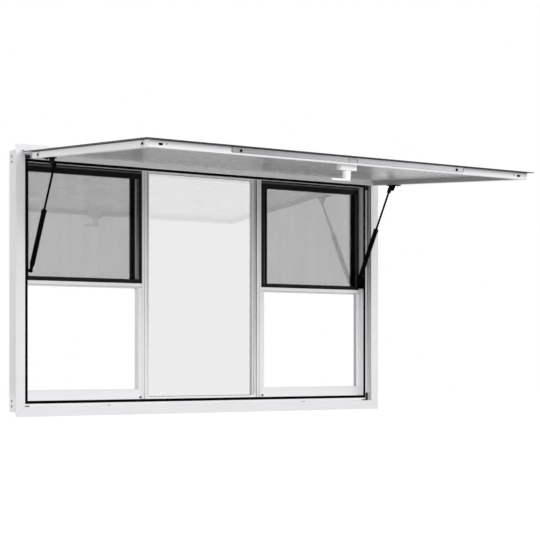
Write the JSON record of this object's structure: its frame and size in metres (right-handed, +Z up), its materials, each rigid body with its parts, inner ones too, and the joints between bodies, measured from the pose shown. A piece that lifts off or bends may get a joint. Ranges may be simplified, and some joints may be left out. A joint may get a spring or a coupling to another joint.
{
  "type": "concession window",
  "caption": "Serving window for a food truck: white aluminium frame, fixed centre glass, open serving bays under raised sashes, and a top-hinged awning flap held up by gas struts.",
  "frame": {"origin": "middle of the back face of the sill flange, where it lies on the outside of the wall", "axes": "+X to the right seen from outside, +Y into the wall, +Z up"},
  "size_m": [1.524, 0.9562, 0.9144],
  "materials": {
    "white_aluminium": "satin white paint",
    "satin_aluminium": "satin",
    "black_aluminium": "satin black paint",
    "black_steel": "satin black",
    "black_rubber": "matte",
    "insect_mesh": "woven mesh",
    "clear_glass": "clear"
  },
  "bodies": {
    "frame": {"centre_glass": "clear_glass", "centre_glazing_frame": "white_aluminium", "frame_head": "white_aluminium", "frame_left_jamb": "white_aluminium", "frame_right_jamb": "white_aluminium", "frame_sill": "white_aluminium", "hinge_rail": "white_aluminium", "left_bottom_rail": "white_aluminium", "left_jamb_track": "white_aluminium", "left_mullion": "white_aluminium", "left_mullion_track": "white_aluminium", "left_sash_frame": "black_aluminium", "left_sash_glass": "clear_glass", "left_screen_frame": "black_aluminium", "left_screen_mesh": "insect_mesh", "left_strut_bracket": "black_steel", "left_top_rail": "black_aluminium", "left_transom": "white_aluminium", "right_bottom_rail": "white_aluminium", "right_jamb_track": "white_aluminium", "right_mullion": "white_aluminium", "right_mullion_track": "white_aluminium", "right_sash_frame": "black_aluminium", "right_sash_glass": "clear_glass", "right_screen_frame": "black_aluminium", "right_screen_mesh": "insect_mesh", "right_strut_bracket": "black_steel", "right_top_rail": "black_aluminium", "right_transom": "white_aluminium", "weather_seal": "black_rubber"},
    "awning": {"awning_skin": "white_aluminium", "awning_front_rail": "white_aluminium", "awning_rear_rail": "white_aluminium", "awning_left_rail": "white_aluminium", "awning_right_rail": "white_aluminium", "awning_liner": "satin_aluminium", "latch_base": "white_aluminium", "left_strut_lug": "black_steel", "right_strut_lug": "black_steel"},
    "latch": {"latch_handle": "white_aluminium"},
    "left_cylinder": {"left_strut_cylinder": "black_steel"},
    "left_rod": {"left_strut_rod": "black_steel"},
    "right_cylinder": {"right_strut_cylinder": "black_steel"},
    "right_rod": {"right_strut_rod": "black_steel"}
  },
  "joints": [
    {"name": "awning_hinge", "type": "hinge", "parent": "frame", "child": "awning", "pos_m": [0, -0.013, 0.8813], "axis": [1, 0, 0], "range_deg": [0, 85.33]},
    {"name": "latch_turn", "type": "hinge", "parent": "awning", "child": "latch", "pos_m": [0, -0.81599, 0.76855], "axis": [0, 0.0814, -0.9967], "range_deg": [0, 90]},
    {"name": "left_strut_turn", "type": "hinge", "parent": "frame", "child": "left_cylinder", "pos_m": [-0.693, 0.03, 0.4873], "axis": [1, 0, 0], "range_deg": [-28.78, 0.01]},
    {"name": "left_rod_slide", "type": "slide", "parent": "left_cylinder", "child": "left_rod", "axis": [0, -0.4904, 0.8715], "range_m": [-0.15039, 0.0001]},
    {"name": "right_strut_turn", "type": "hinge", "parent": "frame", "child": "right_cylinder", "pos_m": [0.693, 0.03, 0.4873], "axis": [1, 0, 0], "range_deg": [-28.78, 0.01]},
    {"name": "right_rod_slide", "type": "slide", "parent": "right_cylinder", "child": "right_rod", "axis": [0, -0.4904, 0.8715], "range_m": [-0.15039, 0.0001]}
  ],
  "couplings": [
    {"joint": "left_strut_turn", "follows": "awning_hinge", "ratio": -0.3372},
    {"joint": "left_rod_slide", "follows": "awning_hinge", "m_per_rad": -0.10091},
    {"joint": "right_strut_turn", "follows": "awning_hinge", "ratio": -0.3372},
    {"joint": "right_rod_slide", "follows": "awning_hinge", "m_per_rad": -0.10091}
  ]
}
